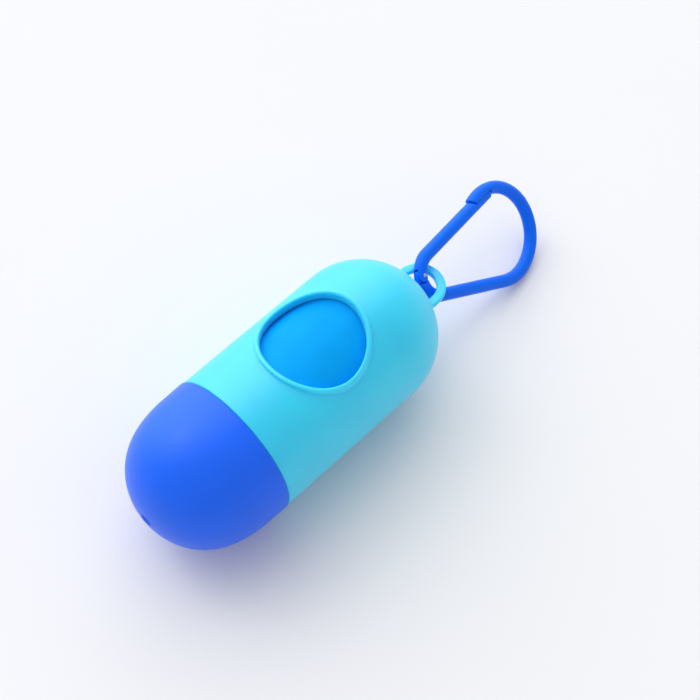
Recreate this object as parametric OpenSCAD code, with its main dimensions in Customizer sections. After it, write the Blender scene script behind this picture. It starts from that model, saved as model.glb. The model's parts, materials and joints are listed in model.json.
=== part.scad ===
// Bag dispenser: a pill-shaped case with a window, a screw cap, a roll of bags on a core,
// and a snap hook in the eye of the case. It lies on its side, window up, as the hook
// droops to the same surface. X runs along the case, from the cap to the hook.

/* [Case] */
// Outer diameter of the cap at its open edge
cap_d = 40; // [38:0.5:44]
// How far the wall of the case stands inside the edge of the cap
edge_step = 0.2; // [0:0.05:0.4]
// Length of the straight part of the case
tube_len = 44.6; // [44:0.2:52]
// Wall thickness of the case
wall = 1.8; // [1.6:0.1:2]

/* [Cap] */
// Length of the cap over its rounded end
cap_len = 28.7; // [28:0.1:32]
// Draft of the cap's skirt in degrees
cap_draft = 1.8; // [0.5:0.1:2.5]
// Wall thickness of the cap
cap_wall = 1.7; // [1.5:0.1:1.8]
// Gap between the cap's edge and the shoulder of the case
seam_gap = 0.12; // [0.05:0.01:0.3]
// Diameter of the round moulding mark at the tip of the cap
gate_mark_d = 3.4; // [2:0.1:5]
// Depth of that mark
gate_mark_depth = 0.35; // [0.2:0.05:0.6]

/* [Screw thread] */
// Length of the threaded neck
neck_len = 9; // [8:0.5:10]
// Outer diameter of the neck, under the thread
neck_d = 34.6; // [34.4:0.1:34.8]
// Rise of the thread in one turn
thread_pitch = 4; // [4:0.1:4.5]
// Height of the thread's ridge
thread_h = 0.8; // [0.6:0.05:0.85]
// Turns of the ridge on the neck
neck_turns = 1.25; // [1:0.05:1.3]
// Turns of the ridge in the cap
cap_turns = 1; // [0.8:0.05:1]

/* [Window] */
// Diameter of the window, seen from above
window_d = 26.2; // [20:0.2:28]
// Distance of the window's centre from the cap's edge
window_x = 27.7; // [24:0.1:30]
// Width of the raised lip around the window
lip_w = 1.3; // [1:0.1:2]
// Height of the lip over the case
lip_h = 0.9; // [0.5:0.1:1.2]

/* [Eye for the hook] */
// Diameter of the hole of the eye
eye_hole_d = 9.2; // [9:0.1:9.6]
// Outer diameter of the eye
eye_d = 14.2; // [14:0.1:14.6]
// Thickness of the eye
eye_t = 1.6; // [1.4:0.1:1.8]
// Distance from the tip of the case to the centre of the eye
eye_out = 1.55; // [1.4:0.05:1.8]

/* [Roll of bags] */
// Length of the roll and its core
roll_len = 58; // [50:1:60]
// Diameter of the wound bags
roll_d = 30.4; // [20:0.2:30.8]
// Outer diameter of the core
core_d = 14; // [13.6:0.1:15]
// Inner diameter of the core
core_bore = 12; // [11.8:0.1:12.4]
// Where the roll starts, behind the cap's edge
roll_start = 14; // [12:0.5:15]
// Thickness of the first bag's folded film around the roll
film_t = 0.25; // [0.2:0.05:0.3]
// How far the first bag stands off the roll under the window
film_puff = 2.3; // [0:0.1:2.4]

/* [Snap hook] */
// Thickness of the hook's bar
bar_d = 3.6; // [3.4:0.1:3.6]
// Centreline radius of the narrow end
small_r = 6; // [5.9:0.1:6.2]
// Centreline radius of the wide end
wide_r = 12.9; // [12:0.1:14]
// Distance between the centres of both ends
end_dist = 26; // [24:0.5:30]
// How far the hook droops below level, in degrees
hook_droop = 17; // [16:0.5:18]
// How far the hook has rolled over on its long axis, in degrees
hook_roll = 47; // [46:0.5:48]
// Slope of the gate against the hook's long axis, in degrees
gate_slope = 12.5; // [11:0.5:13]

/* [Hidden] */
$fn = 96;
eps = 0.01;

// Case and cap
cap_r = cap_d / 2;
tube_r = cap_r - edge_step;
bore_r = tube_r - wall;
axis_h = cap_r;
tip_x = tube_len + tube_r;
edge_round = 0.35;
nose_c = (cap_len - cap_r * cos(cap_draft)) / (1 - sin(cap_draft));
nose_r = cap_len - nose_c;
nose_join = nose_c + nose_r * sin(cap_draft);
cap_bore_r = cap_r - cap_wall;
cap_bore_len = neck_len + 0.8;

// Neck and thread
neck_r = neck_d / 2;
neck_bore_r = neck_r - 1.4;
neck_taper = bore_r - neck_bore_r;
ridge_base_w = 1.9;
ridge_top_w = 1.1;
ridge_root = 0.3;
ridge_steps = 24;
ridge_run_out = 3;
neck_ridge_from = neck_len - 1.4;
cap_ridge_from = neck_ridge_from - thread_pitch / 2;

// Roll, and the bosses that carry its core
cap_boss_r = core_bore / 2 - 0.08;
case_boss_r = core_bore / 2 - 0.3;
boss_wall = 1.4;
boss_reach = 5;
roll_end = roll_len - roll_start;
lead_r = roll_d / 2 + 0.04;
lead_gap_angle = 24;
lead_gap_at = lead_gap_angle / 2;
lead_puff_from = 1 + 2 * thread_pitch;

// Eye
eye_x = tip_x + eye_out;
eye_mid_r = (eye_d + eye_hole_d) / 4;
eye_w = (eye_d - eye_hole_d) / 2;
eye_bevel = 0.5;
eye_root = 3.6;

// Snap hook, in its own plane: U along its long axis, V towards the gate
bar_r = bar_d / 2;
hook_x = eye_x + 6.95;
hook_z = axis_h - 0.8;
flare = asin((wide_r - small_r) / end_dist);
side_len = sqrt(pow(end_dist, 2) - pow(wide_r - small_r, 2));
pivot_angle = 163;
pivot = [small_r * cos(pivot_angle), small_r * sin(pivot_angle)];
shoulder_angle = 182;
bar_sides = 20;
tongue_t = 1.3;
slot_t = 1.5;
slot_reach = 2.3;
pin_d = 1.1;
pin_play = 0.06;
pin_len = bar_d + 0.1;
bend_angle = 90 + gate_slope;
bend = [small_r * cos(bend_angle), small_r * sin(bend_angle)];
gate_len = 28.8;
lap_shift = 0.45;
lap_gap = 0.12;
nose_at = 22.3;
nose_tilt = 60;
nose_gap = 0.25;
nose_end_angle = 128;
spring_bore_d = 1.6;
spring_bore_len = 3.4;
spring_from = 19;
spring_wire_d = 0.26;
spring_coils = 4;
spring_r = 0.55;
spring_rise = 3;

// The drooping hook's reach, and the middle of the whole object
hook_reach = hook_x + end_dist * cos(hook_droop) + bar_r
    + wide_r * sqrt(pow(cos(hook_droop), 2) + pow(sin(hook_droop) * sin(hook_roll), 2));
mid_x = (hook_reach - cap_len - seam_gap) / 2;

echo(length = hook_reach + cap_len + seam_gap, case_length = tip_x + cap_len + seam_gap);

// Places: the seam's centre, the case's axis, and the hook's own plane
module at_seam() { translate([-mid_x, 0, axis_h]) children(); }

module on_axis() { at_seam() rotate([0, 90, 0]) children(); }

module in_hook() {
    translate([hook_x - mid_x, 0, hook_z]) rotate([hook_roll, hook_droop, 0]) children();
}

// One ring of a swept bar: its section, given as [outward, along] pairs, stands at angle a
// around the point c, r from it and z up
function ring_at(c, r, a, z, section) =
    [for (p = section) [c[0] + (r + p[0]) * cos(a), c[1] + (r + p[0]) * sin(a), z + p[1]]];

function round_section(r, n) = [for (k = [0:n - 1]) r * [cos(360 * k / n), sin(360 * k / n)]];

// The closed solid through a row of rings; flip is for a row that turns the other way
module swept(rings, flip = false) {
    n = len(rings);
    m = len(rings[0]);
    face = function (a, b, c) flip ? [a, c, b] : [a, b, c];
    last = m * (n - 1);
    sides = [for (i = [0:n - 2], k = [0:m - 1])
        let (a = m * i + k, b = m * i + (k + 1) % m) each [face(a, b, b + m), face(a, b + m, a + m)]];
    ends = [for (k = [1:m - 2]) each [face(0, k + 1, k), face(last, last + k, last + k + 1)]];
    polyhedron([for (ring = rings) each ring], concat(sides, ends), convexity = 6);
}

// A screw ridge on a wall of radius r, outside it where side is 1 and inside it where it
// is -1. Its ends run out into the wall.
function ridge_section(side, lift) =
    let (top = (thread_h + ridge_root) * lift - ridge_root)
    side * [[-ridge_root, -side * ridge_base_w / 2], [top, -side * ridge_top_w / 2],
            [top, side * ridge_top_w / 2], [-ridge_root, side * ridge_base_w / 2]];

module screw_ridge(r, side, z0, turns) {
    n = round(turns * ridge_steps);
    lift = function (i) min(1, 0.2 + 0.8 * min(i, n - i) / ridge_run_out);
    rings = [for (i = [0:n]) let (turn = i / ridge_steps)
        ring_at([0, 0], r, 360 * turn, z0 + thread_pitch * turn, ridge_section(side, lift(i)))];
    swept(rings, side < 0);
}

// A hollow boss that carries one end of the core, from z0 to z1
module boss(r, z0, z1) {
    translate([0, 0, z0]) difference() {
        cylinder(r = r, h = z1 - z0);
        translate([0, 0, -eps]) cylinder(r = r - boss_wall, h = z1 - z0 + 2 * eps);
    }
}

// Case
module case_outline() {
    difference() {
        union() {
            square([tube_r, tube_len]);
            translate([0, tube_len]) intersection() {
                circle(tube_r);
                square(tube_r);
            }
            translate([0, -neck_len]) square([neck_r, neck_len + eps]);
        }
        translate([tube_r, 0]) polygon([[eps, -eps], [-edge_round, -eps], [eps, edge_round]]);
    }
}

module case_hollow() {
    translate([0, -neck_len - 1]) square([neck_bore_r, neck_len + 2]);
    taper_end = 1 + neck_taper;
    polygon([[0, 0], [neck_bore_r, 0], [neck_bore_r, 1], [bore_r, taper_end], [0, taper_end]]);
    translate([0, taper_end - eps]) square([bore_r, tube_len - taper_end + eps]);
    translate([0, tube_len]) intersection() {
        circle(bore_r);
        square(bore_r);
    }
}

module window_lip() {
    intersection() {
        rotate([0, 90, 0]) cylinder(r = tube_r + lip_h, h = tube_len);
        translate([window_x, 0, 0]) cylinder(r = window_d / 2 + lip_w, h = cap_d);
    }
}

module eye_section() {
    w = eye_w / 2;
    t = eye_t / 2;
    b = eye_bevel;
    corners = [[w, t - b], [w - b, t], [b - w, t], [-w, t - b]];
    polygon(concat(corners, -corners));
}

module hook_eye() {
    translate([eye_x, 0, 0]) {
        rotate([0, 0, -90]) rotate_extrude(angle = 180) translate([eye_mid_r, 0]) eye_section();
        for (s = [-1, 1])
            translate([0, s * eye_mid_r, 0]) rotate([90, 0, -90]) linear_extrude(eye_root) eye_section();
    }
}

module body_shell() {
    color("#6fdcf5") {
        difference() {
            union() {
                on_axis() rotate_extrude() case_outline();
                at_seam() window_lip();
                at_seam() hook_eye();
            }
            on_axis() rotate_extrude() case_hollow();
            at_seam() translate([window_x, 0, 0]) cylinder(d = window_d, h = cap_d);
        }
        on_axis() screw_ridge(neck_r, 1, -neck_ridge_from, neck_turns);
        on_axis() boss(case_boss_r, roll_end - boss_reach, tube_len + bore_r - 0.5);
    }
}

// Cap
module cap_outline() {
    skirt_end_r = nose_r * cos(cap_draft);
    difference() {
        union() {
            polygon([[0, 0], [cap_r, 0], [skirt_end_r, -nose_join], [0, -nose_join]]);
            translate([0, -nose_c]) intersection() {
                circle(nose_r);
                translate([0, -nose_r]) square(nose_r);
            }
        }
        translate([cap_r, 0]) polygon([[eps, eps], [-edge_round, eps], [eps, -edge_round]]);
    }
}

module cap_hollow() {
    translate([0, -cap_bore_len]) square([cap_bore_r, cap_bore_len + 1]);
    translate([0, -nose_c]) intersection() {
        circle(nose_r - cap_wall);
        translate([0, -nose_r]) square([nose_r, nose_r]);
    }
}

module screw_cap() {
    color("#0f6fe8") on_axis() translate([0, 0, -seam_gap]) {
        difference() {
            rotate_extrude() cap_outline();
            rotate_extrude() cap_hollow();
            translate([0, 0, -cap_len - 1]) cylinder(d = gate_mark_d, h = gate_mark_depth + 1);
        }
        screw_ridge(cap_bore_r, -1, seam_gap - cap_ridge_from, cap_turns);
        boss(cap_boss_r, cap_wall + 0.5 - cap_len, boss_reach - roll_start);
    }
}

// Roll of bags
module roll_tube(r_out, r_in) {
    on_axis() translate([0, 0, -roll_start]) difference() {
        cylinder(r = r_out, h = roll_len);
        translate([0, 0, -1]) cylinder(r = r_in, h = roll_len + 2);
    }
}

module roll_core() {
    color("#c9a77c") roll_tube(core_d / 2, core_bore / 2);
}

module bag_roll() {
    color("#12a8f0") roll_tube(roll_d / 2, core_d / 2 + 0.05);
}

// The first bag, loose around the roll. It stands up to the window's edge, as far along as the
// neck lets it pass when the cap is unscrewed, and its free edge is turned away from the window.
module lead_bag() {
    inner = [[0, 0.5 - roll_start], [0, lead_puff_from], [film_puff, lead_puff_from + 5],
             [film_puff, roll_end - 3], [0, roll_end - 0.5]];
    last = len(inner) - 1;
    outer = [for (i = [last:-1:0]) inner[i] + [film_t, 0]];
    color("#1fb2f5") on_axis() rotate([0, 0, lead_gap_at]) rotate_extrude(angle = 360 - lead_gap_angle)
        translate([lead_r, 0]) polygon(concat(inner, outer));
}

// Snap hook: the bars are swept in the hook's plane, and their ends are cut to shape
function bar_ring(c, r, a) = ring_at(c, r, a, 0, round_section(bar_r, bar_sides));

function arc_rings(c, r, from, to, n) = [for (i = [0:n]) bar_ring(c, r, from + (to - from) * i / n)];

module at_pivot() { translate([pivot[0], pivot[1], 0]) children(); }

module along_gate() { translate([bend[0], bend[1], 0]) rotate([0, 0, gate_slope]) children(); }

// The side of the slanted seam where the frame's nose is; back moves the seam towards the pivot
module nose_side(back) {
    along_gate() translate([nose_at - back, lap_shift, 0]) rotate([0, 0, -nose_tilt])
        translate([-4, 0, -4]) cube([12, 12, 8]);
}

module pivot_side() {
    along_gate() translate([nose_at, lap_shift, 0]) rotate([0, 0, -nose_tilt])
        translate([-8, -8, -4]) cube([14, 8, 8]);
}

// All that lies beyond a round end of radius r at the pivot; turn points away from the bar
module past_round_end(r, turn) {
    at_pivot() difference() {
        rotate([0, 0, turn]) translate([0, -4, -4]) cube([4, 8, 8]);
        cylinder(r = r, h = 10, center = true);
    }
}

module carabiner_frame() {
    arc_n = 40;
    color("#0a63dc") in_hook() difference() {
        union() {
            difference() {
                swept(concat(
                    arc_rings([end_dist, 0], wide_r, nose_end_angle, -90 - flare, arc_n),
                    arc_rings([0, 0], small_r, 270 - flare, shoulder_angle, 8)), true);
                along_gate() translate([nose_at - 6, lap_shift + lap_gap - 6, -4])
                    cube([gate_len + lap_gap - nose_at + 6, 6, 8]);
                pivot_side();
            }
            difference() {
                intersection() {
                    swept(arc_rings([0, 0], small_r, shoulder_angle + 1, pivot_angle - 20, 8), true);
                    cube([40, 40, tongue_t], center = true);
                }
                past_round_end(bar_r - 0.2, pivot_angle - 90);
            }
        }
        at_pivot() cylinder(d = pin_d + 2 * pin_play, h = 10, center = true);
    }
}

module carabiner_gate() {
    tip = gate_len * [cos(gate_slope), sin(gate_slope)];
    color("#0a63dc") in_hook() difference() {
        swept(concat(arc_rings([0, 0], small_r, pivot_angle + 20, bend_angle, 12),
            [bar_ring(tip, small_r, bend_angle)]), true);
        past_round_end(bar_r - 0.05, pivot_angle + 90);
        intersection() {
            along_gate() translate([nose_at - 6, lap_shift, -4]) cube([20, 8, 8]);
            nose_side(nose_gap);
        }
        at_pivot() cylinder(r = slot_reach, h = slot_t, center = true);
        at_pivot() cylinder(d = pin_d, h = 10, center = true);
        at_spring() cylinder(d = spring_bore_d, h = spring_bore_len);
    }
}

module gate_pin() {
    color("#d4dde8") in_hook() at_pivot() cylinder(d = pin_d, h = pin_len, center = true);
}

// The bore of the gate's spring starts in the slot and cuts the bend as a chord, inside the bar
module at_spring() {
    turn = spring_bore_len / small_r * 180 / PI;
    rotate(pivot_angle - spring_from) translate([small_r, 0]) rotate([0, 90, -90 - turn / 2]) children();
}

module gate_spring() {
    n = spring_coils * 12;
    color("#b8bec6") in_hook() at_spring() translate([0, 0, spring_wire_d / 2])
        swept([for (i = [0:n])
            ring_at([0, 0], spring_r, 30 * i, spring_rise * i / n, round_section(spring_wire_d / 2, 6))]);
}

body_shell();
screw_cap();
roll_core();
bag_roll();
lead_bag();
carabiner_frame();
carabiner_gate();
gate_pin();
gate_spring();
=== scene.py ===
"""Dresses a pill-shaped bag dispenser: its moulded case and cap, the roll of bags and the snap hook."""

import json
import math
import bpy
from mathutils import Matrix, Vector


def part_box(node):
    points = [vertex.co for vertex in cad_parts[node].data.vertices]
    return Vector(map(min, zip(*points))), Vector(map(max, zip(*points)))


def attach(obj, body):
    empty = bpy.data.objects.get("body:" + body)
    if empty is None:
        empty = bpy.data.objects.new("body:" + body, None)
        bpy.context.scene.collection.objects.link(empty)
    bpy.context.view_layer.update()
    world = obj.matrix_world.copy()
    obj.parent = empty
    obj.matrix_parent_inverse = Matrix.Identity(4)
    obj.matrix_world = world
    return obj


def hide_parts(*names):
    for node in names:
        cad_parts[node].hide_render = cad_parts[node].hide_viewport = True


bl_info = {
    "name": "Bag Dispenser",
    "version": (1, 0, 0),
    "blender": (4, 5, 0),
    "location": "View3D > Sidebar > Dispenser",
    "description": "Builds the pieces of a pill-shaped bag dispenser, their plastics and a pale studio",
    "category": "Object",
}

import bmesh
import bpy
import numpy as np
from bpy.props import FloatProperty, FloatVectorProperty, PointerProperty
from mathutils import Vector

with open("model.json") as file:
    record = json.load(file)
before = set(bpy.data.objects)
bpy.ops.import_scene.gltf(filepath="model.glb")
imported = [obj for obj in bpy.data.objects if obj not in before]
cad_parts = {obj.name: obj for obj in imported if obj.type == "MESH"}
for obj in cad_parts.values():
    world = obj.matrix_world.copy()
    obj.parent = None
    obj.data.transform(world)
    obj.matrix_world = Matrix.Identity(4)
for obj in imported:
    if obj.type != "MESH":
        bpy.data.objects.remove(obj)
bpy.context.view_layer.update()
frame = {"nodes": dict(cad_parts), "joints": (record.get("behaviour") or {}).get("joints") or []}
JOINTS = {joint["name"]: joint for joint in frame["joints"]}
SEAM = Vector(JOINTS["cap_turn"]["pos_m"])

MM = 0.001
ROUND = 128  # steps around the case
BAR_SIDES = 32  # sides of the hook's bar
BEVEL = 0.16 * MM  # at the cut ends of the hook's bars
SHOULDER_DEGREES = 182  # where the bar gives way to the tongue, round the hook's narrow end
SHARP = math.radians(38)  # an edge that turns by more stays crisp


# ---------------------------------------- settings


def linear(code):
    """The linear colour that an sRGB hex code such as "#1ec8ee" stands for."""
    parts = [int(code[i : i + 2], 16) / 255 for i in (1, 3, 5)]
    return tuple(c / 12.92 if c <= 0.04045 else ((c + 0.055) / 1.055) ** 2.4 for c in parts)


def length(name, description, mm):
    return FloatProperty(
        name=name, description=description, default=mm * MM, min=0, precision=5, unit="LENGTH"
    )


def angle(name, description, degrees):
    return FloatProperty(
        name=name, description=description, default=math.radians(degrees), subtype="ANGLE"
    )


def colour(name, description, code):
    return FloatVectorProperty(
        name=name, description=description, default=linear(code), size=3, min=0, max=1, subtype="COLOR"
    )


class DispenserCase(bpy.types.PropertyGroup):
    """Sizes of the case"""

    radius: length("Radius", "Outer radius of the case", 19.8)
    wall: length("Wall", "Thickness of its wall", 1.8)
    tube: length("Tube", "Length of its straight part", 44.6)
    neck: length("Neck", "Length of the threaded neck", 9)
    neck_radius: length("Neck radius", "Outer radius of the neck, under its thread", 17.3)
    neck_wall: length("Neck wall", "Thickness of the neck's wall", 1.4)
    window_radius: length("Window radius", "Radius of the window, seen from above", 13.1)
    window_at: length("Window place", "From the cap's edge to the window's centre", 27.7)
    lip_width: length("Lip width", "Width of the raised lip around the window", 1.3)
    lip_height: length("Lip height", "Height of the lip over the case", 0.9)
    eye_hole: length("Eye hole", "Radius of the hole of the eye", 4.6)
    eye_radius: length("Eye radius", "Outer radius of the eye", 7.1)
    eye_thickness: length("Eye thickness", "Thickness of the eye", 1.6)
    eye_out: length("Eye place", "From the tip of the case to the eye's centre", 1.55)


class DispenserCap(bpy.types.PropertyGroup):
    """Sizes of the screw cap"""

    radius: length("Radius", "Outer radius at the open edge", 20)
    reach: length("Length", "Length over the rounded end", 28.7)
    wall: length("Wall", "Thickness of its wall", 1.7)
    gap: length("Gap", "Gap between its edge and the case's shoulder", 0.12)
    fullness: FloatProperty(
        name="Fullness",
        description="How full the rounded end is; 2 is an ellipse",
        default=3.1,
        min=2,
        max=6,
    )
    mark_radius: length("Mark radius", "Radius of the moulding mark at its tip", 1.7)
    mark_depth: length("Mark depth", "Depth of that mark", 0.45)


class DispenserThread(bpy.types.PropertyGroup):
    """Sizes of the screw thread"""

    pitch: length("Pitch", "Rise of the thread in one turn", 4)
    height: length("Height", "Height of the ridge", 0.8)
    base: length("Base", "Width of the ridge at its foot", 1.9)
    crest: length("Crest", "Width of the ridge at its top", 1.1)
    neck_from: length("Start", "From the case's shoulder to the start of its ridge", 7.6)


class DispenserRoll(bpy.types.PropertyGroup):
    """Sizes of the roll of bags"""

    radius: length("Radius", "Radius of the wound bags", 15.2)
    core_radius: length("Core radius", "Radius that the bags are wound on", 7.05)
    layer: length("Layer", "Step between the layers that show at the ends", 0.5)
    film: length("Film", "Thickness of the first bag's folded film", 0.25)
    puff: length("Puff", "How far the first bag stands off the roll under the window", 2.3)
    puff_from: length("Puff start", "Where it starts to stand off, from the cap's edge", 9)
    fold: length("Fold", "Height of its soft folds", 0.12)
    tooth: length("Tooth", "Pitch of the torn teeth at its free edge", 1.3)


class DispenserHook(bpy.types.PropertyGroup):
    """Sizes of the snap hook"""

    bar: length("Bar", "Radius of the hook's bar", 1.8)
    small: length("Narrow end", "Centreline radius of the narrow end", 6)
    wide: length("Wide end", "Centreline radius of the wide end", 12.9)
    spread: length("Spread", "Distance between the centres of both ends", 26)
    slope: angle("Gate slope", "Slope of the gate against the hook's long axis", 12.5)
    gate: length("Gate length", "Length of the gate's straight bar", 28.8)
    nose: length("Nose place", "Where the seam of the nose crosses the gate", 22.3)
    seam_tilt: angle("Seam tilt", "Lean of that seam against the gate", 60)
    seam_gap: length("Seam gap", "Gap at that seam", 0.25)
    lap: length("Lap", "Height of the lap over the gate's centreline", 0.45)
    lap_gap: length("Lap gap", "Gap along the lap", 0.12)
    tongue: length("Tongue", "Thickness of the frame's tongue in the gate's slot", 1.3)
    slot: length("Slot", "Width of the gate's slot", 1.5)
    slot_reach: length("Slot reach", "How far the slot reaches from the pin", 2.3)
    pin: length("Pin", "Radius of the gate's pin", 0.55)
    tip_gap: length("Tip gap", "Gap between the gate's tip and the frame", 0.3)
    spring_bore: length("Spring bore", "Radius of the bore of the gate's spring", 0.8)
    spring_depth: length("Spring depth", "Length of that bore", 3.4)
    spring_from: angle("Spring place", "From the pin to the start of that bore", 19)


class DispenserFinish(bpy.types.PropertyGroup):
    """Colours of the plastics and the film"""

    case: colour("Case", "Light cyan of the case", "#08d3ff")
    cap: colour("Cap", "Strong blue of the cap", "#0064fa")
    hook: colour("Hook", "Strong blue of the hook", "#006af6")
    film: colour("Film", "Azure of the bags", "#00a2f2")
    core: colour("Core", "Brown of the core's board", "#b08a5e")
    steel: colour("Steel", "Tint of the pin and spring", "#b9c4d2")
    floor: colour("Floor", "Pale grey of the studio floor", "#e9e9eb")


# ---------------------------------------- outlines and surfaces


def turned(radius, degrees):
    """The point at that radius and angle."""
    return np.array([radius * math.cos(math.radians(degrees)), radius * math.sin(math.radians(degrees))])


def rounded(corners, steps=6):
    """An open outline through corners (x, y, radius), each turned on an arc of its own radius."""
    outline = [np.array(corners[0][:2], float)]
    for before, (x, y, radius), after in zip(corners, corners[1:], corners[2:]):
        here = np.array([x, y], float)
        back = np.array(before[:2], float) - here
        ahead = np.array(after[:2], float) - here
        back /= np.linalg.norm(back)
        ahead /= np.linalg.norm(ahead)
        half = math.acos(np.clip(back @ ahead, -1, 1)) / 2
        if radius == 0 or half > math.radians(89):
            outline.append(here)
            continue
        middle = (back + ahead) / np.linalg.norm(back + ahead)
        centre = here + middle * radius / math.sin(half)
        first = here + back * radius / math.tan(half) - centre
        last = here + ahead * radius / math.tan(half) - centre
        sweep = math.acos(np.clip(first @ last / radius**2, -1, 1))
        for i in range(steps + 1):
            t = i / steps
            share = [math.sin((1 - t) * sweep), math.sin(t * sweep)]
            outline.append(centre + (share[0] * first + share[1] * last) / math.sin(sweep))
    outline.append(np.array(corners[-1][:2], float))
    return outline


def spaced(start, end, step):
    """Points from start to just before end, about a step apart."""
    start, end = np.array(start, float), np.array(end, float)
    count = max(1, round(float(np.linalg.norm(end - start)) / step))
    return [start + (end - start) * i / count for i in range(count)]


class Surface:
    """Points and faces that are added row by row."""

    def __init__(self):
        self.points = []
        self.faces = []

    def row(self, points):
        start = len(self.points)
        self.points.extend(tuple(p) for p in points)
        return list(range(start, len(self.points)))

    def join(self, a, b):
        """Faces between two closed rows. A row of one point makes a fan, and None leaves a hole."""
        count = max(len(a), len(b))
        for k in range(count):
            after = (k + 1) % count
            corners = [a[k % len(a)], a[after % len(a)], b[after % len(b)], b[k % len(b)]]
            face = list(dict.fromkeys(corners))
            if None not in face and len(face) > 2:
                self.faces.append(face)

    def rows(self, rings, ends=False):
        made = [self.row(ring) for ring in rings]
        for a, b in zip(made, made[1:]):
            self.join(a, b)
        if ends:
            self.faces.append(made[0][::-1])
            self.faces.append(made[-1])
        return made

    def solid(self, name):
        """A closed mesh object with its faces turned outwards."""
        mesh = bpy.data.meshes.new(name)
        mesh.from_pydata(self.points, [], self.faces)
        shape = bmesh.new()
        shape.from_mesh(mesh)
        bmesh.ops.remove_doubles(shape, verts=shape.verts, dist=0.002 * MM)
        bmesh.ops.recalc_face_normals(shape, faces=shape.faces)
        if shape.calc_volume(signed=True) < 0:
            bmesh.ops.reverse_faces(shape, faces=shape.faces)
        shape.to_mesh(mesh)
        shape.free()
        made = bpy.data.objects.new(name, mesh)
        bpy.context.scene.collection.objects.link(made)
        return made


def combined(target, tools, operation):
    """Joins tools to target, or cuts them from it, and removes the tools."""
    for tool in tools:
        cut = target.modifiers.new("shape", "BOOLEAN")
        cut.object = tool
        cut.operation = operation
        cut.solver = "MANIFOLD"
    bpy.context.view_layer.update()
    graph = bpy.context.evaluated_depsgraph_get()
    result = bpy.data.meshes.new_from_object(target.evaluated_get(graph))
    target.modifiers.clear()
    target.data = result
    for tool in tools:
        bpy.data.objects.remove(tool)
    return target


def finished(piece, body, material, node):
    """Smooths a piece between its sharp edges, gives it its material, and rides it on its body.

    It takes the place of a plain solid of the frame."""
    shape = bmesh.new()
    shape.from_mesh(piece.data)
    bmesh.ops.dissolve_degenerate(shape, edges=shape.edges, dist=0.001 * MM)
    for face in shape.faces:
        face.smooth = True
    for edge in shape.edges:
        edge.smooth = len(edge.link_faces) == 2 and edge.calc_face_angle(0) < SHARP
    shape.to_mesh(piece.data)
    shape.free()
    piece.data.materials.clear()
    piece.data.materials.append(material)
    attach(piece, body)
    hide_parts(node)


def dress(node, material):
    """Gives a solid of the frame, which stays as it is, its material."""
    piece = frame["nodes"][node]
    piece.data.materials.clear()
    piece.data.materials.append(material)


# ---------------------------------------- places


def around(x, radius):
    """A ring around the case's axis, from the top towards +Y, x from the seam."""
    turns = [2 * math.pi * j / ROUND for j in range(ROUND)]
    return [(SEAM.x + x, radius * math.sin(t), SEAM.z + radius * math.cos(t)) for t in turns]


def revolved(surface, profile, closed=False):
    """Rows around the case's axis through (x, radius) pairs; radius 0 is the axis itself."""
    rings = [[(SEAM.x + x, 0, SEAM.z)] if r < 0.01 * MM else around(x, r) for x, r in profile]
    made = surface.rows(rings)
    if closed:
        surface.join(made[-1], made[0])
    return made


def hook_axes():
    """The hook's middle, its long axis, the direction to its gate and its plane's normal."""
    swing = JOINTS["carabiner_swing"]
    normal = Vector(swing["axis"]).normalized()
    along = Vector((normal.z, 0, -normal.x)).normalized()
    return Vector(swing["pos_m"]), along, normal.cross(along), normal


def in_hook(rings):
    """Rings of (along, towards the gate, across) turned into the row frame."""
    middle, along, side, normal = (np.array(v) for v in hook_axes())
    return [[middle + p[0] * along + p[1] * side + p[2] * normal for p in ring] for ring in rings]


# ---------------------------------------- materials


def added(tree, kind, links=None, **settings):
    """A new node. Settings name its attributes or its sockets, and links its inputs' sources."""
    made = tree.nodes.new(kind)
    for name, value in settings.items():
        if hasattr(made, name):
            setattr(made, name, value)
        else:
            made.inputs[name.replace("_", " ")].default_value = value
    for name, source in (links or {}).items():
        tree.links.new(source, made.inputs[name])
    return made


def fresh(name):
    """An empty node material with its output, and its object coordinates in metres."""
    material = bpy.data.materials.new(name)
    material.use_nodes = True
    tree = material.node_tree
    tree.nodes.clear()
    output = added(tree, "ShaderNodeOutputMaterial")
    place = added(tree, "ShaderNodeTexCoord").outputs["Object"]
    return material, tree, output, place


def shade(rgb, factor):
    """That colour, lighter or darker by a factor, with its alpha."""
    return (*(min(1, c * factor) for c in rgb), 1)


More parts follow.
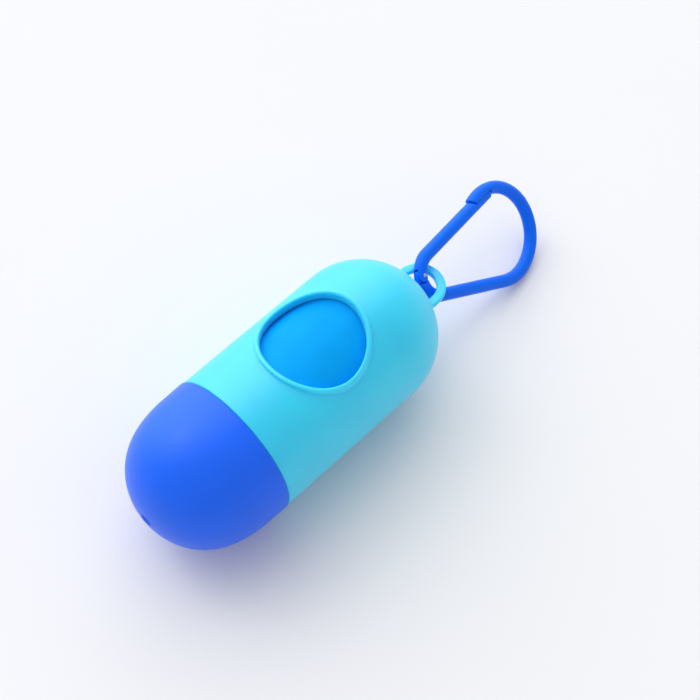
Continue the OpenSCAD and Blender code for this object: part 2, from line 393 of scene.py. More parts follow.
def moulded_plastic(name, rgb, rough, gloss, bloom=0.0, scatter=0.0):
    """Moulded plastic: satin, with the faint grain of the tool and slow waves of shrinkage.

    The grain breaks highlights up a little and the waves bend them. A pale wall lets some
    light through, which gives it its depth of colour, and bloom is the haze on its surface."""
    grain_size, wave_size, flow_size = 0.45 * MM, 9 * MM, 14 * MM
    material, tree, output, place = fresh(name)
    grain = added(tree, "ShaderNodeTexNoise", {"Vector": place}, Scale=1 / grain_size, Detail=2.0)
    wave = added(tree, "ShaderNodeTexNoise", {"Vector": place}, Scale=1 / wave_size, Detail=1.0)
    flow = added(tree, "ShaderNodeTexNoise", {"Vector": place}, Scale=1 / flow_size, Detail=3.0)
    tint = added(tree, "ShaderNodeValToRGB", {"Fac": flow.outputs["Fac"]})
    ends = tint.color_ramp.elements
    ends[0].position, ends[1].position = 0.3, 0.7
    ends[0].color, ends[1].color = shade(rgb, 0.955), shade(rgb, 1.03)
    matt = added(
        tree,
        "ShaderNodeMapRange",
        {"Value": grain.outputs["Fac"]},
        To_Min=rough - 0.03,
        To_Max=rough + 0.05,
    )
    dents = added(
        tree, "ShaderNodeBump", {"Height": wave.outputs["Fac"]}, Strength=0.35, Distance=0.12 * MM
    )
    fine = added(
        tree,
        "ShaderNodeBump",
        {"Height": grain.outputs["Fac"], "Normal": dents.outputs["Normal"]},
        Strength=0.16,
        Distance=0.012 * MM,
    )
    plastic = added(
        tree,
        "ShaderNodeBsdfPrincipled",
        {
            "Base Color": tint.outputs["Color"],
            "Roughness": matt.outputs["Result"],
            "Normal": fine.outputs["Normal"],
        },
        IOR=1.49,
        Specular_IOR_Level=gloss,
        Sheen_Weight=bloom,
        Sheen_Roughness=0.5,
    )
    if scatter:
        plastic.inputs["Subsurface Weight"].default_value = scatter
        plastic.inputs["Subsurface Radius"].default_value = (0.4, 1.0, 1.2)
        plastic.inputs["Subsurface Scale"].default_value = 2.5 * MM
    tree.links.new(plastic.outputs["BSDF"], output.inputs["Surface"])
    return material


def bag_film(rgb):
    """Blown polyethylene film, wound flat: soft sheen, with fine creases along the roll."""
    crease_size, ripple_size = 1.6 * MM, 5 * MM
    material, tree, output, place = fresh("blown polyethylene film")
    stretch = added(tree, "ShaderNodeMapping", {"Vector": place}, Scale=(0.14, 1, 1))
    crease = added(
        tree, "ShaderNodeTexNoise", {"Vector": stretch.outputs["Vector"]}, Scale=1 / crease_size, Detail=3.0
    )
    ripple = added(tree, "ShaderNodeTexNoise", {"Vector": place}, Scale=1 / ripple_size, Detail=1.0)
    tint = added(tree, "ShaderNodeValToRGB", {"Fac": ripple.outputs["Fac"]})
    ends = tint.color_ramp.elements
    ends[0].position, ends[1].position = 0.3, 0.7
    ends[0].color, ends[1].color = shade(rgb, 0.95), shade(rgb, 1.02)
    folds = added(
        tree, "ShaderNodeBump", {"Height": crease.outputs["Fac"]}, Strength=0.25, Distance=0.05 * MM
    )
    film = added(
        tree,
        "ShaderNodeBsdfPrincipled",
        {"Base Color": tint.outputs["Color"], "Normal": folds.outputs["Normal"]},
        Roughness=0.6,
        Specular_IOR_Level=0.06,
    )
    tree.links.new(film.outputs["BSDF"], output.inputs["Surface"])
    return material


def wound_board(rgb):
    """Spiral-wound board: matt brown paper with short fibres and the line of its winding."""
    fibre_size, strip_width = 0.5 * MM, 9 * MM
    material, tree, output, place = fresh("spiral-wound board")
    fibre = added(tree, "ShaderNodeTexNoise", {"Vector": place}, Scale=1 / fibre_size, Detail=4.0)
    strip = added(
        tree,
        "ShaderNodeTexWave",
        {"Vector": place},
        bands_direction="DIAGONAL",
        Scale=0.3 / strip_width,
        Distortion=0.4,
    )
    mixed = added(
        tree,
        "ShaderNodeMath",
        {0: fibre.outputs["Fac"], 1: strip.outputs["Fac"]},
        operation="MULTIPLY_ADD",
    )
    mixed.inputs[2].default_value = 0.2
    tint = added(tree, "ShaderNodeValToRGB", {"Fac": mixed.outputs["Value"]})
    ends = tint.color_ramp.elements
    ends[0].color, ends[1].color = shade(rgb, 0.8), shade(rgb, 1.1)
    nap = added(tree, "ShaderNodeBump", {"Height": fibre.outputs["Fac"]}, Strength=0.4, Distance=0.04 * MM)
    board = added(
        tree,
        "ShaderNodeBsdfPrincipled",
        {"Base Color": tint.outputs["Color"], "Normal": nap.outputs["Normal"]},
        Roughness=0.9,
    )
    tree.links.new(board.outputs["BSDF"], output.inputs["Surface"])
    return material


def drawn_steel(rgb):
    """Drawn spring steel: bright metal with fine lines of the die."""
    line_size = 0.08 * MM
    material, tree, output, place = fresh("drawn steel")
    line = added(tree, "ShaderNodeTexNoise", {"Vector": place}, Scale=1 / line_size, Detail=2.0)
    tint = added(tree, "ShaderNodeValToRGB", {"Fac": line.outputs["Fac"]})
    ends = tint.color_ramp.elements
    ends[0].color, ends[1].color = shade(rgb, 0.9), shade(rgb, 1.05)
    rough = added(tree, "ShaderNodeMapRange", {"Value": line.outputs["Fac"]}, To_Min=0.28, To_Max=0.4)
    steel = added(
        tree,
        "ShaderNodeBsdfPrincipled",
        {"Base Color": tint.outputs["Color"], "Roughness": rough.outputs["Result"]},
        Metallic=1.0,
    )
    tree.links.new(steel.outputs["BSDF"], output.inputs["Surface"])
    return material


def floor_paint(rgb):
    """Smooth matt laminate of the studio table, near white, with the faintest mottle."""
    mottle_size = 60 * MM
    material, tree, output, place = fresh("matt white laminate")
    mottle = added(tree, "ShaderNodeTexNoise", {"Vector": place}, Scale=1 / mottle_size, Detail=2.0)
    tint = added(tree, "ShaderNodeValToRGB", {"Fac": mottle.outputs["Fac"]})
    ends = tint.color_ramp.elements
    ends[0].color, ends[1].color = shade(rgb, 0.99), shade(rgb, 1.005)
    laminate = added(
        tree, "ShaderNodeBsdfPrincipled", {"Base Color": tint.outputs["Color"]}, Roughness=0.75
    )
    tree.links.new(laminate.outputs["BSDF"], output.inputs["Surface"])
    return material


# ---------------------------------------- case


def thread_ridge(wall_radius, outside, start, turns, thread):
    """A screw ridge on a wall: out from it, or in from it. Its ends run out into the wall."""
    steps, run_out = 48, 6
    root, edge = 0.3 * MM, 0.25 * MM
    side = 1 if outside else -1
    count = round(turns * steps)
    rings = []
    for i in range(count + 1):
        lift = min(1, 0.12 + 0.88 * min(i, count - i) / run_out)
        top = (thread.height + root) * lift - root
        outline = rounded(
            [
                (-root, -thread.base / 2, 0),
                (top, -thread.crest / 2, edge * lift),
                (top, thread.crest / 2, edge * lift),
                (-root, thread.base / 2, 0),
            ],
            3,
        )
        turn = 2 * math.pi * i / steps
        rise = start + thread.pitch * i / steps
        ring = []
        for out, along in outline:
            radius = wall_radius + side * out
            ring.append((SEAM.x + rise + along, radius * math.sin(turn), SEAM.z - radius * math.cos(turn)))
        rings.append(ring)
    surface = Surface()
    surface.rows(rings, ends=True)
    return surface.solid("ridge")


def boss_tube(radius, start, end):
    """A hollow boss on the axis that carries one end of the core."""
    wall, edge = 1.4 * MM, 0.3 * MM
    middle = (start + end) / 2
    profile = rounded(
        [
            (middle, radius, 0),
            (start, radius, edge),
            (start, radius - wall, edge),
            (end, radius - wall, edge),
            (end, radius, edge),
            (middle, radius, 0),
        ],
        3,
    )[:-1]
    surface = Surface()
    revolved(surface, profile, closed=True)
    return surface.solid("boss")


def window_edges(xs, half_turn):
    """The four sides of the patch around the window, as (x, step round) pairs in order."""
    right, left = xs[-1], xs[0]
    up = [(right, j) for j in range(-half_turn, half_turn)]
    back = [(x, half_turn) for x in xs[:0:-1]]
    down = [(left, j) for j in range(half_turn, -half_turn, -1)]
    out = [(x, -half_turn) for x in xs[:-1]]
    return up + back + down + out


def on_case(case, along, across, radius):
    """A point over the case's tube: along from the window's centre, and across it, on that radius."""
    height = math.sqrt(radius**2 - across**2)
    return (SEAM.x + case.window_at + along, across, SEAM.z + height)


def case_skin(case):
    """The wall of the case as one closed skin, with its window's lip built into it."""
    patch_from, half_turn, rings_out = 10.8 * MM, 22, 7
    taper_from, taper, taper_bend = 1 * MM, 2.1 * MM, 0.8 * MM
    edge, mouth_edge, foot, step = 0.35 * MM, 0.4 * MM, 0.3 * MM, 1.3 * MM
    inner = case.radius - case.wall
    bore = case.neck_radius - case.neck_wall
    mouth = (case.neck_radius + bore) / 2
    xs = list(np.linspace(patch_from, case.tube, 29))
    surface = Surface()

    front = rounded(
        [
            (-case.neck, mouth, 0),
            (-case.neck, case.neck_radius, mouth_edge),
            (0, case.neck_radius, 0.25 * MM),
            (0, case.radius, edge),
            (patch_from, case.radius, 0),
        ]
    )[:-1]
    front += spaced(front[-1], (patch_from, case.radius), step)[1:]

    def round_tip(radius):
        return [
            (case.tube + radius * math.sin(t), radius * math.cos(t))
            for t in np.linspace(0, math.pi / 2, 30)
        ]

    outer_end, inner_end = round_tip(case.radius)[1:], round_tip(inner)
    back = rounded(
        [
            (patch_from, inner, 0),
            (taper_from + taper, inner, taper_bend),
            (taper_from, bore, taper_bend),
            (-case.neck, bore, mouth_edge),
            (-case.neck, mouth, 0),
        ]
    )[1:-1]

    def ring(x, radius, window):
        points = around(x, radius)
        if not window:
            return surface.row(points)
        shown = range(half_turn, ROUND - half_turn + 1)
        ids = surface.row([points[j] for j in shown])
        row = [None] * ROUND
        for j, made in zip(shown, ids):
            row[j] = made
        return row

    walls = {}
    rows = [ring(x, r, False) for x, r in front]
    for radius, order in ((case.radius, xs), (inner, xs[::-1])):
        made = {}
        for x in order:
            made[x] = ring(x, radius, x not in (xs[0], xs[-1]))
            rows.append(made[x])
        walls[radius] = made
        if radius == case.radius:
            rows += [ring(x, r, False) for x, r in outer_end[:-1]]
            rows.append(surface.row([(SEAM.x + outer_end[-1][0], 0, SEAM.z)]))
            rows.append(surface.row([(SEAM.x + inner_end[-1][0], 0, SEAM.z)]))
            rows += [ring(x, r, False) for x, r in inner_end[-2:0:-1]]
    rows += [ring(x, r, False) for x, r in back]
    poles = [len(row) == 1 for row in rows]
    for a, b, first, second in zip(rows, rows[1:] + rows[:1], poles, poles[1:] + poles[:1]):
        if not (first and second):
            surface.join(a, b)

    lip = rounded(
        [
            (case.window_radius + case.lip_width + foot, case.radius, 0),
            (case.window_radius + case.lip_width, case.radius, 0.12 * MM),
            (case.window_radius + case.lip_width, case.radius + case.lip_height, 0.3 * MM),
            (case.window_radius, case.radius + case.lip_height, 0.85 * MM),
            (case.window_radius, inner, 0.08 * MM),
            (case.window_radius + foot, inner, 0),
        ],
        7,
    )
    border = window_edges(xs, half_turn)
    flat = [(x - case.window_at, j * 2 * math.pi / ROUND) for x, j in border]
    bearings = [math.atan2(turn * case.radius, along) for along, turn in flat]

    def loft(radius, reach):
        """Rings on the tube's wall from the patch's border to the circle at that reach."""
        made = []
        for i in range(1, rings_out):
            t = 1 - (1 - i / rings_out) ** 1.3
            points = []
            for (along, turn), bearing in zip(flat, bearings):
                goal = (
                    reach * math.cos(bearing),
                    math.asin(reach * math.sin(bearing) / radius),
                )
                u, v = along + (goal[0] - along) * t, turn + (goal[1] - turn) * t
                points.append(on_case(case, u, radius * math.sin(v), radius))
            made.append(points)
        return made

    def edge_row(radius):
        return [walls[radius][x][j % ROUND] for x, j in border]

    middle = [
        [on_case(case, reach * math.cos(b), reach * math.sin(b), radius) for b in bearings]
        for reach, radius in lip
    ]
    rings = loft(case.radius, lip[0][0]) + middle + loft(inner, lip[-1][0])[::-1]
    made = surface.rows(rings)
    surface.join(edge_row(case.radius), made[0])
    surface.join(made[-1], edge_row(inner))
    return surface.solid("case")


def case_eye(case):
    """The flat eye at the case's tip. Its two legs spread where they grow out of the dome."""
    root, flare_from, spread, edge = 3.6 * MM, 1.5 * MM, 0.55 * MM, 0.55 * MM
    middle = (case.eye_radius + case.eye_hole) / 2
    width, thickness = case.eye_radius - case.eye_hole, case.eye_thickness
    centre = case.tube + case.radius + case.eye_out

    def section(extra):
        w, t = width / 2 + extra, thickness / 2 + extra
        corners = [(w, 0, 0), (w, t, edge), (-w, t, edge), (-w, -t, edge), (w, -t, edge), (w, 0, 0)]
        return rounded(corners, 5)[:-1]

    def leg(side):
        rings = []
        for i in range(9):
            back = root * (1 - i / 8)
            grown = spread * max(0, (back - flare_from) / (root - flare_from)) ** 2
            outline = section(grown)
            x = centre - back
            rings.append([(SEAM.x + x, side * (middle + o), SEAM.z + h) for o, h in outline])
        return rings

    def tip(a):
        bend = [(middle + o, h) for o, h in section(0)]
        return [(SEAM.x + centre + r * math.cos(a), r * math.sin(a), SEAM.z + h) for r, h in bend]

    turn = [tip(a) for a in np.linspace(-math.pi / 2, math.pi / 2, 41)]
    surface = Surface()
    surface.rows(leg(-1)[:-1] + turn + leg(1)[-2::-1], ends=True)
    return surface.solid("eye")


class DISPENSER_OT_case(bpy.types.Operator):
    """Builds the case with its window, neck, thread and eye"""

    bl_idname = "dispenser.case"
    bl_label = "Case"

    def execute(self, context):
        case, thread = context.scene.dispenser_case, context.scene.dispenser_thread
        inner = case.radius - case.wall
        turns, boss_radius, boss_from, sunk = 1.25, 5.7 * MM, 39 * MM, 0.4 * MM
        skin = case_skin(case)
        parts = [
            case_eye(case),
            thread_ridge(case.neck_radius, True, -thread.neck_from, turns, thread),
            boss_tube(boss_radius, boss_from, case.tube + inner - sunk),
        ]
        combined(skin, parts, "UNION")
        rgb = context.scene.dispenser_finish.case
        plastic = moulded_plastic(
            "moulded polypropylene, light cyan", rgb, rough=0.4, gloss=0.85, bloom=0.1, scatter=0.4
        )
        finished(skin, "shell", plastic, "body_shell")
        return {"FINISHED"}


# ---------------------------------------- cap


def cap_skin(cap):
    """The cap's wall: a full dome outside, a straight bore for the neck and a round end inside."""
    edge, inner_edge, bore_bend = 0.35 * MM, 0.3 * MM, 0.2 * MM
    bore_depth, end_from, end_radius = 9.8 * MM, 9 * MM, 18 * MM
    mark_edge, mark_draft, tip_step = 0.18 * MM, 0.15 * MM, 0.05 * MM
    nub, nub_draft, nub_side, nub_height, nub_edge = 0.5 * MM, 0.1 * MM, 0.28 * MM, 0.3 * MM, 0.12 * MM
    bore = cap.radius - cap.wall
    power = 2 / cap.fullness

    def outside(t):
        return (-cap.gap - cap.reach * math.sin(t) ** power, cap.radius * math.cos(t))

    dome = [outside(t) for t in np.linspace(0, math.pi / 2, 47)[4:]]
    dome = [p for p in dome if p[1] > cap.mark_radius + mark_edge]
    tip = -cap.gap - cap.reach
    floor_x = tip + cap.mark_depth
    outline = [(*p, 0) for p in dome] + [
        (tip + tip_step, cap.mark_radius, mark_edge),
        (floor_x, cap.mark_radius - mark_draft, mark_edge),
        (floor_x, nub, nub_edge),
        (floor_x - nub_side, nub - nub_draft, nub_edge),
        (floor_x - nub_height, 0, 0),
    ]
    rim = (-cap.gap, (cap.radius + bore) / 2, 0)
    profile = rounded([rim, (-cap.gap, cap.radius, edge), (*dome[0], 0)], 5)[:-1] + rounded(outline, 3)
    end_centre = -cap.gap - end_from
    start = math.acos(min(1, (bore_depth - end_from) / end_radius))
    inner_end = [
        (end_centre - end_radius * math.cos(t), end_radius * math.sin(t))
        for t in np.linspace(0, start, 28)
    ]
    inside = rounded(
        [
            (*inner_end[-1], 0),
            (-cap.gap - bore_depth, bore, bore_bend),
            (-cap.gap, bore, inner_edge),
            rim,
        ],
        4,
    )
    surface = Surface()
    outer_rows = revolved(surface, profile)
    inner_rows = revolved(surface, inner_end[:-1] + inside[:-1])
    surface.join(inner_rows[-1], outer_rows[0])
    return surface.solid("cap")


class DISPENSER_OT_cap(bpy.types.Operator):
    """Builds the screw cap with its thread and boss"""

    bl_idname = "dispenser.cap"
    bl_label = "Cap"

    def execute(self, context):
        scene = context.scene
        cap, thread = scene.dispenser_cap, scene.dispenser_thread
        bore = cap.radius - cap.wall
        turns, boss_radius, boss_to, sunk = 1, 5.92 * MM, 9.12 * MM, 0.4 * MM
        skin = cap_skin(cap)
        ridge_from = thread.pitch / 2 - thread.neck_from
        parts = [
            thread_ridge(bore, False, ridge_from, turns, thread),
            boss_tube(boss_radius, -cap.gap - cap.reach + cap.wall + sunk, -boss_to),
        ]
        combined(skin, parts, "UNION")
        rgb = scene.dispenser_finish.cap
        plastic = moulded_plastic("moulded polypropylene, strong blue", rgb, rough=0.38, gloss=0.36)
        finished(skin, "cap", plastic, "screw_cap")
        return {"FINISHED"}


# ---------------------------------------- roll of bags


def roll_ends():
    """Where the roll starts and ends, from the seam."""
    low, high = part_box("bag_roll")
    return low.x - SEAM.x, high.x - SEAM.x


def wound_bags(roll):
    """The wound bags. Their layers stand a little in and out at both ends."""
    start, end = roll_ends()
    depth, edge = 0.22 * MM, 0.3 * MM
    count = int((roll.radius - roll.core_radius) / roll.layer)
    face = []
    for k in range(count):
        inset = depth * (0.3 + 0.7 * abs(math.sin(2.4 * k))) if k else 0.0
        low = roll.core_radius + (roll.radius - roll.core_radius) * k / count
        high = roll.core_radius + (roll.radius - roll.core_radius) * (k + 0.8) / count
        face += [(inset, low), (inset, high)]
    middle = (start + end) / 2
    left = [(start + inset, r) for inset, r in face]
    right = [(end - inset, r) for inset, r in face[::-1]]
    centre = (middle, roll.radius, 0)
    outer = rounded([(*left[-1], 0), (start + edge, roll.radius, edge), centre], 3)[1:]
    outer += rounded([centre, (end - edge, roll.radius, edge), (*right[0], 0)], 3)[1:-1]
    surface = Surface()
    revolved(surface, left + outer + right, closed=True)
    return surface.solid("wound_bags")


def eased(x, start, end):
    """Rises smoothly from 0 at start to 1 at end."""
    t = min(1, max(0, (x - start) / (end - start)))
    return t * t * (3 - 2 * t)


def first_bag(roll):
    """The first bag's film, loose around the roll, with soft folds and a torn free edge below."""
    start, end = roll_ends()
    gap, columns, rows, hem = math.radians(24), 200, 96, 6
    inset, slack, rise, fall = 0.5 * MM, 0.04 * MM, 5 * MM, 2.5 * MM
    slow_wave, slow_twist, quick_wave, quick_twist = 170, 60, 410, 90  # radians in a metre
    last = end - inset

    def place(i, j, out):
        x = start + inset + (last - start - inset) * i / rows
        share = j / columns
        turn = math.pi + gap / 2 + (2 * math.pi - gap) * share
        if j in (0, columns):
            tooth = 0.5 - abs((x / roll.tooth) % 1 - 0.5)
            turn += (1 if j == 0 else -1) * tooth * roll.tooth * 0.9 / roll.radius
        stand = eased(x, roll.puff_from, roll.puff_from + rise) * eased(x, last, last - fall)
        slow = math.sin(x * slow_wave + 1.3 * math.sin(2 * turn))
        slow *= math.sin(2 * turn + x * slow_twist)
        quick = math.sin(x * quick_wave + 2 * math.sin(3 * turn + 1))
        quick *= math.sin(7 * turn + x * quick_twist)
        flat = min(1, min(i, rows - i, j, columns - j) / hem)
        lift = roll.fold * (0.5 + 0.36 * slow + 0.12 * quick) * flat * (0.25 + 0.75 * stand)
        radius = roll.radius + slack + roll.puff * stand + lift + out
        return (SEAM.x + x, radius * math.sin(turn), SEAM.z + radius * math.cos(turn))

    surface = Surface()
    rings = []
    for i in range(rows + 1):
        under = [place(i, j, 0) for j in range(columns + 1)]
        over = [place(i, j, roll.film) for j in range(columns, -1, -1)]
        rings.append(under + over)
    made = surface.rows(rings)
    for row in (made[0], made[-1]):
        for j in range(columns):
            surface.faces.append([row[j], row[j + 1], row[2 * columns - j], row[2 * columns + 1 - j]])
    return surface.solid("first_bag")


class DISPENSER_OT_roll(bpy.types.Operator):
    """Builds the roll of bags and dresses its core"""

    bl_idname = "dispenser.roll"
    bl_label = "Roll of bags"

    def execute(self, context):
        roll, finish = context.scene.dispenser_roll, context.scene.dispenser_finish
        film = bag_film(finish.film)
        finished(wound_bags(roll), "roll", film, "bag_roll")
        finished(first_bag(roll), "roll", film, "lead_bag")
        dress("roll_core", wound_board(finish.core))
        return {"FINISHED"}


# ---------------------------------------- snap hook


def bar_outline(radius):
    """A round bar's section as (outward, across) pairs."""
    turns = [2 * math.pi * k / BAR_SIDES for k in range(BAR_SIDES)]
    return [(radius * math.cos(t), radius * math.sin(t)) for t in turns]


def arc_ring(centre, radius, degrees, outline):
    """A section that stands on an arc of the hook's plane."""
    out = turned(1, degrees)
    return [(*(np.array(centre) + (radius + o) * out), w) for o, w in outline]


def gate_frame(hook):
    """The point where the gate's straight bar starts, and its direction and outward side."""
    slope = math.degrees(hook.slope)
    return turned(hook.small, 90 + slope), turned(1, slope), turned(1, 90 + slope)


def from_gate(hook, x, y):
    start, along, out = gate_frame(hook)
    return start + x * along + y * out


def to_gate(hook, point):
    start, along, out = gate_frame(hook)
    return np.array([(point - start) @ along, (point - start) @ out])


def seam_lean(hook):
    """How far the nose's slanted seam runs along the gate for each step outwards."""
    return math.tan(math.pi / 2 - hook.seam_tilt)


def round_end(centre, degrees, ahead, reach, outline):
    """Sections that end a bar on a half circle in the hook's plane; ahead is 1 or -1 round the arc."""
    count = 14
    out = turned(1, degrees)
    on = ahead * turned(1, degrees + 90)
    rings = []
    for i in range(count):
        step = reach * math.sin(math.pi / 2 * i / (count - 0.6))
        half = math.sqrt(reach**2 - step**2)
        rings.append([(*(centre + on * step + max(-half, min(half, o)) * out), w) for o, w in outline])
    return rings


def hook_frame(hook):
    """The frame of the snap hook: its nose laps the gate, and its tongue sits in the gate's slot."""
    flare = math.degrees(math.asin((hook.wide - hook.small) / hook.spread))
    wide_centre, origin = np.array([hook.spread, 0.0]), np.zeros(2)
    outline = bar_outline(hook.bar)
    lap_y = hook.lap + hook.lap_gap
    wall_x = hook.gate + hook.tip_gap
    wall_step, turn_step, pin_play, through = 0.02 * MM, 1.5, 0.06 * MM, 5 * MM
    middle = to_gate(hook, wide_centre)
    lean = seam_lean(hook)
    slope = math.degrees(hook.slope)

    def on_arc(x, radius):
        """The height over the gate's line, at x, of the arc of that radius."""
        return middle[1] + math.sqrt(radius**2 - (x - middle[0]) ** 2)

    def nose_ring(x, grow, tilt, clamp):
        """A section across the nose. Its points stand on a line through x that leans by tilt."""
        ring = []
        for o, w in bar_outline(hook.bar + grow):
            px = x
            for _ in range(6):
                py = on_arc(px, hook.wide + o)
                px = x - tilt * (py - hook.lap)
            if clamp and py < lap_y:
                px, py = x - tilt * (lap_y - hook.lap), lap_y
            ring.append((*from_gate(hook, px, py), w))
        return ring

    rings = [
        nose_ring(hook.nose, -2.2 * BEVEL, lean, True),
        nose_ring(hook.nose, -BEVEL, lean, True),
        nose_ring(hook.nose + 0.3 * BEVEL, -0.3 * BEVEL, lean, True),
        nose_ring(hook.nose + BEVEL, 0, lean, True),
    ]
    for share in np.linspace(0, 1, 9)[1:-1]:
        x = hook.nose + (wall_x - hook.nose) * share
        rings.append(nose_ring(x, 0, lean * (1 - share), True))
    rings.append(nose_ring(wall_x, 0, 0, True))
    rings.append(nose_ring(wall_x + wall_step, 0, 0, False))
    rise, run = on_arc(wall_x, hook.wide) - middle[1], wall_x - middle[0]
    wall_turn = math.degrees(math.atan2(rise, run)) + slope
    for degrees in np.linspace(wall_turn, -90 - flare, 62)[2:]:
        rings.append(arc_ring(wide_centre, hook.wide, degrees, outline))
    out = turned(1, -90 - flare)
    side_start, side_end = turned(hook.wide, -90 - flare) + wide_centre, turned(hook.small, -90 - flare)
    for point in spaced(side_start, side_end, 1.5 * MM)[1:]:
        rings.append([(*(point + o * out), w) for o, w in outline])
    for degrees in np.linspace(270 - flare, SHOULDER_DEGREES + turn_step, 16):
        rings.append(arc_ring(origin, hook.small, degrees, outline))
    worn = [(o * 0.94, w * 0.94) for o, w in outline]
    rings.append(arc_ring(origin, hook.small, SHOULDER_DEGREES, worn))
    half, neck = hook.tongue / 2, 0.2 * MM
    reach = hook.bar - neck
    flat = [(max(-reach, min(reach, o)), max(-half, min(half, w))) for o, w in outline]
    rings.append(arc_ring(origin, hook.small, SHOULDER_DEGREES - 0.1, flat))
    pivot = pivot_angle()
    for degrees in np.linspace(SHOULDER_DEGREES - turn_step, pivot, 8)[:-1]:
        rings.append(arc_ring(origin, hook.small, degrees, flat))
    rings += round_end(turned(hook.small, pivot), pivot, -1, reach, flat)
    surface = Surface()
    surface.rows(in_hook(rings), ends=True)
    made = surface.solid("hook_frame")
    return combined(made, [pin_rod("bore", hook.pin + pin_play, through)], "DIFFERENCE")


def pivot_angle():
    """The angle of the gate's pin on the narrow end, from the gate's joint."""
    middle, along, side, _ = hook_axes()
    off = Vector(JOINTS["gate_open"]["pos_m"]) - middle
    return math.degrees(math.atan2(off @ side, off @ along))


def rod(name, centre, axis, radius, half, dome=0.0):
    """A straight round rod with its middle at centre; dome is how far its ends bulge."""
    count = 48
    axis = np.array(Vector(axis).normalized())
    side = np.array(Vector(axis).orthogonal().normalized())
    other = np.cross(axis, side)
    edge = min(0.12 * MM, radius * 0.2)
    reach = [(half + dome, 0.02 * MM), (half + dome * 0.8, radius * 0.5), (half, radius - edge)]
    profile = [(-h, r) for h, r in reach] + [(-half + edge, radius), (half - edge, radius)]
    profile += [(h, r) for h, r in reach[::-1]]
    rings = []
    for h, r in profile:
        turns = [2 * math.pi * k / count for k in range(count)]
        rings.append(
            [np.array(centre) + h * axis + r * (math.cos(t) * side + math.sin(t) * other) for t in turns]
        )
    surface = Surface()
    surface.rows(rings, ends=True)
    return surface.solid(name)


def pin_rod(name, radius, half, dome=0.0):
    """A rod on the axis of the gate's joint."""
    gate = JOINTS["gate_open"]
    return rod(name, gate["pos_m"], gate["axis"], radius, half, dome)


def spring_bore(hook):
    """The bore of the gate's spring, from its slot across the bend as a chord."""
    first = pivot_angle() - math.degrees(hook.spring_from)
    lean = math.degrees(hook.spring_depth / hook.small) / 2
    start = turned(hook.small, first)
    end = start + turned(hook.spring_depth, first - 90 - lean)
    a, b = in_hook([[(*start, 0.0), (*end, 0.0)]])[0]
    return rod("spring_bore", (a + b) / 2, b - a, hook.spring_bore, hook.spring_depth / 2)


def hook_gate(hook):
    """The gate: a round heel with a slot on the pin, a bend, and a bar that laps under the nose."""
    seam_step, heel_step, through = 0.01 * MM, 0.05 * MM, 5 * MM
    pivot = pivot_angle()
    slope = math.degrees(hook.slope)
    heel = hook.bar - heel_step
    outline = bar_outline(hook.bar)
    rings = round_end(turned(hook.small, pivot), pivot, 1, heel, outline)[::-1]
    for degrees in np.linspace(pivot, 90 + slope, 22)[1:]:
        rings.append(arc_ring(np.zeros(2), hook.small, degrees, outline))

    def ring(x, grow=0.0, tilt=0.0, clamp=False):
        """A section across the gate. Over the lap it leans back by tilt, or is cut off there."""
        section = []
        for o, w in bar_outline(hook.bar + grow):
            px = x - tilt * max(0, o - hook.lap)
            py = min(o, hook.lap) if clamp else o
            section.append((*from_gate(hook, px, py), w))
        return section

    lean, tip_round = seam_lean(hook), 3 * BEVEL
    seam_x = hook.nose - hook.seam_gap
    straight = seam_x - lean * (hook.bar - hook.lap) - 3 * BEVEL
    for x in np.linspace(0, straight, 20)[1:]:
        rings.append(ring(x))
    rings.append(ring(seam_x - BEVEL, 0, lean))
    rings.append(ring(seam_x - 0.3 * BEVEL, -0.3 * BEVEL, lean))
    rings.append(ring(seam_x, -BEVEL, lean))
    rings.append(ring(seam_x + seam_step, 0, 0, True))
    for x in np.linspace(seam_x, hook.gate - tip_round, 9)[1:]:
        rings.append(ring(x, 0, 0, True))
    for share in (0.35, 0.7, 1):
        back = tip_round * math.cos(math.pi / 2 * share)
        inwards = -tip_round * (1 - math.sqrt(1 - (0.92 * share) ** 2))
        rings.append(ring(hook.gate - back, inwards, 0, True))
    surface = Surface()
    surface.rows(in_hook(rings), ends=True)
    made = surface.solid("hook_gate")
    gate = JOINTS["gate_open"]
    tools = [
        rod("slot", gate["pos_m"], gate["axis"], hook.slot_reach, hook.slot / 2),
        pin_rod("bore", hook.pin, through),
        spring_bore(hook),
    ]
    return combined(made, tools, "DIFFERENCE")


class DISPENSER_OT_hook(bpy.types.Operator):
    """Builds the snap hook: its frame, gate and pin, and dresses the gate's spring"""

    bl_idname = "dispenser.hook"
    bl_label = "Snap hook"

    def execute(self, context):
        hook, finish = context.scene.dispenser_hook, context.scene.dispenser_finish
        pin_ease, pin_dome = 0.005 * MM, 0.12 * MM
        plastic = moulded_plastic("moulded acetal, strong blue", finish.hook, rough=0.34, gloss=0.15)
        steel = drawn_steel(finish.steel)
        finished(hook_frame(hook), "carabiner", plastic, "carabiner_frame")
        finished(hook_gate(hook), "gate", plastic, "carabiner_gate")
        pin = pin_rod("hook_pin", hook.pin - pin_ease, hook.bar, pin_dome)
        finished(pin, "gate", steel, "gate_pin")
        dress("gate_spring", steel)
        return {"FINISHED"}


# ---------------------------------------- studio


def aimed(thing, place, target):
    """Puts a lamp or the camera at place, looking at target."""
    thing.location = place
    thing.rotation_euler = (Vector(target) - Vector(place)).to_track_quat("-Z", "Y").to_euler()


def softbox(name, direction, distance, side, power):
    """A square lamp that looks at the object from that direction."""
    data = bpy.data.lights.new(name, "AREA")
    data.shape = "RECTANGLE"
    data.size = data.size_y = side
    data.energy = power
    lamp = bpy.data.objects.new(name, data)
    bpy.context.scene.collection.objects.link(lamp)
    target = Vector((0, 0, SEAM.z))
    aimed(lamp, target + Vector(direction).normalized() * distance, target)


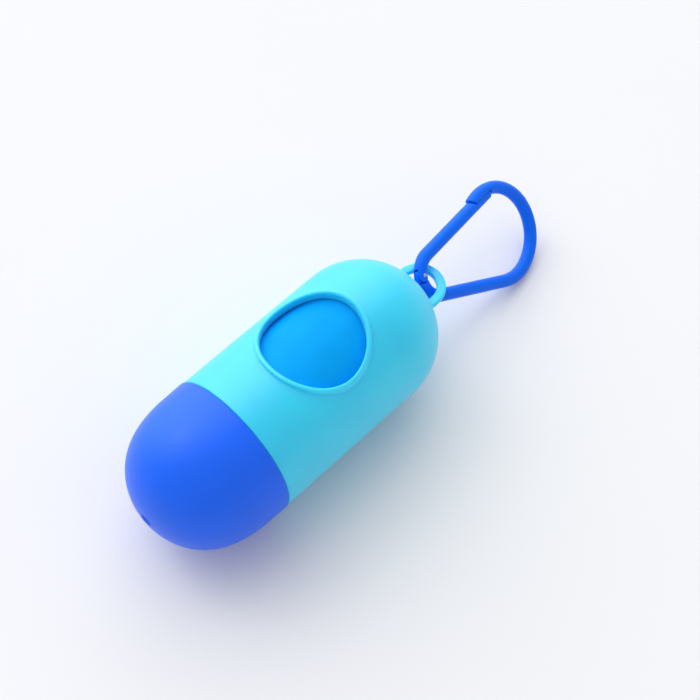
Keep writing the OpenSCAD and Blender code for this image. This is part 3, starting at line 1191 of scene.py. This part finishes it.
def soft_sky(tree, bright_side, base, gain):
    """Even light from all around, and more of it from a broad window on one side.

    The camera sees it as the plain pale wall behind the floor."""
    place = added(tree, "ShaderNodeTexCoord").outputs["Generated"]
    side = added(tree, "ShaderNodeVectorMath", {0: place}, operation="DOT_PRODUCT")
    side.inputs[1].default_value = Vector(bright_side).normalized()
    window = added(
        tree,
        "ShaderNodeMapRange",
        {"Value": side.outputs["Value"]},
        interpolation_type="SMOOTHERSTEP",
        From_Min=0.4,
        From_Max=1.0,
        To_Min=base,
        To_Max=base + gain,
    )
    seen = added(tree, "ShaderNodeLightPath").outputs["Is Camera Ray"]
    shown = added(tree, "ShaderNodeMix", {"Factor": seen, "A": window.outputs["Result"]}, B=0.93)
    sky = tree.nodes["Background"]
    sky.inputs["Color"].default_value = (0.985, 0.99, 1, 1)
    tree.links.new(shown.outputs["Result"], sky.inputs["Strength"])


class DISPENSER_OT_studio(bpy.types.Operator):
    """Sets the pale floor, the soft light and the camera"""

    bl_idname = "dispenser.studio"
    bl_label = "Studio"

    def execute(self, context):
        scene = context.scene
        reach = 3.0
        corners = [(-reach, -reach, 0), (reach, -reach, 0), (reach, reach, 0), (-reach, reach, 0)]
        mesh = bpy.data.meshes.new("floor")
        mesh.from_pydata(corners, [], [(0, 1, 2, 3)])
        floor = bpy.data.objects.new("floor", mesh)
        scene.collection.objects.link(floor)
        floor.data.materials.append(floor_paint(scene.dispenser_finish.floor))

        world = bpy.data.worlds.new("soft sky")
        scene.world = world
        world.use_nodes = True
        soft_sky(world.node_tree, bright_side=(0.26, 0.76, 0.6), base=0.63, gain=1.6)
        softbox("key", direction=(-0.1, 0.65, 0.75), distance=2.0, side=0.6, power=3.0)

        azimuth, elevation, distance = math.radians(-44.92), math.radians(59.45), 0.4092
        target = Vector((-0.0021, -0.0009, 0.02))
        flat = math.cos(elevation)
        back = Vector((math.sin(azimuth) * flat, -math.cos(azimuth) * flat, math.sin(elevation)))
        data = bpy.data.cameras.new("camera")
        data.sensor_width = 36
        data.lens = 82.29
        data.clip_start = 0.01
        camera = bpy.data.objects.new("camera", data)
        scene.collection.objects.link(camera)
        aimed(camera, target + back * distance, target)
        scene.camera = camera
        scene.view_settings.view_transform = "Standard"
        return {"FINISHED"}


# ---------------------------------------- add-on


STEPS = ("case", "cap", "roll", "hook", "studio")


class DISPENSER_PT_panel(bpy.types.Panel):
    """Lists the pieces that can be built"""

    bl_idname = "DISPENSER_PT_panel"
    bl_label = "Bag Dispenser"
    bl_space_type = "VIEW_3D"
    bl_region_type = "UI"
    bl_category = "Dispenser"

    def draw(self, context):
        for step in STEPS:
            self.layout.operator(f"dispenser.{step}")


GROUPS = {
    "dispenser_case": DispenserCase,
    "dispenser_cap": DispenserCap,
    "dispenser_thread": DispenserThread,
    "dispenser_roll": DispenserRoll,
    "dispenser_hook": DispenserHook,
    "dispenser_finish": DispenserFinish,
}
CLASSES = (
    *GROUPS.values(),
    DISPENSER_OT_case,
    DISPENSER_OT_cap,
    DISPENSER_OT_roll,
    DISPENSER_OT_hook,
    DISPENSER_OT_studio,
    DISPENSER_PT_panel,
)


def register():
    for cls in CLASSES:
        bpy.utils.register_class(cls)
    for name, group in GROUPS.items():
        setattr(bpy.types.Scene, name, PointerProperty(type=group))


def unregister():
    for name in GROUPS:
        delattr(bpy.types.Scene, name)
    for cls in reversed(CLASSES):
        bpy.utils.unregister_class(cls)


def main():
    register()
    for step in STEPS:
        getattr(bpy.ops.dispenser, step)()


if __name__ == "__main__":
    main()
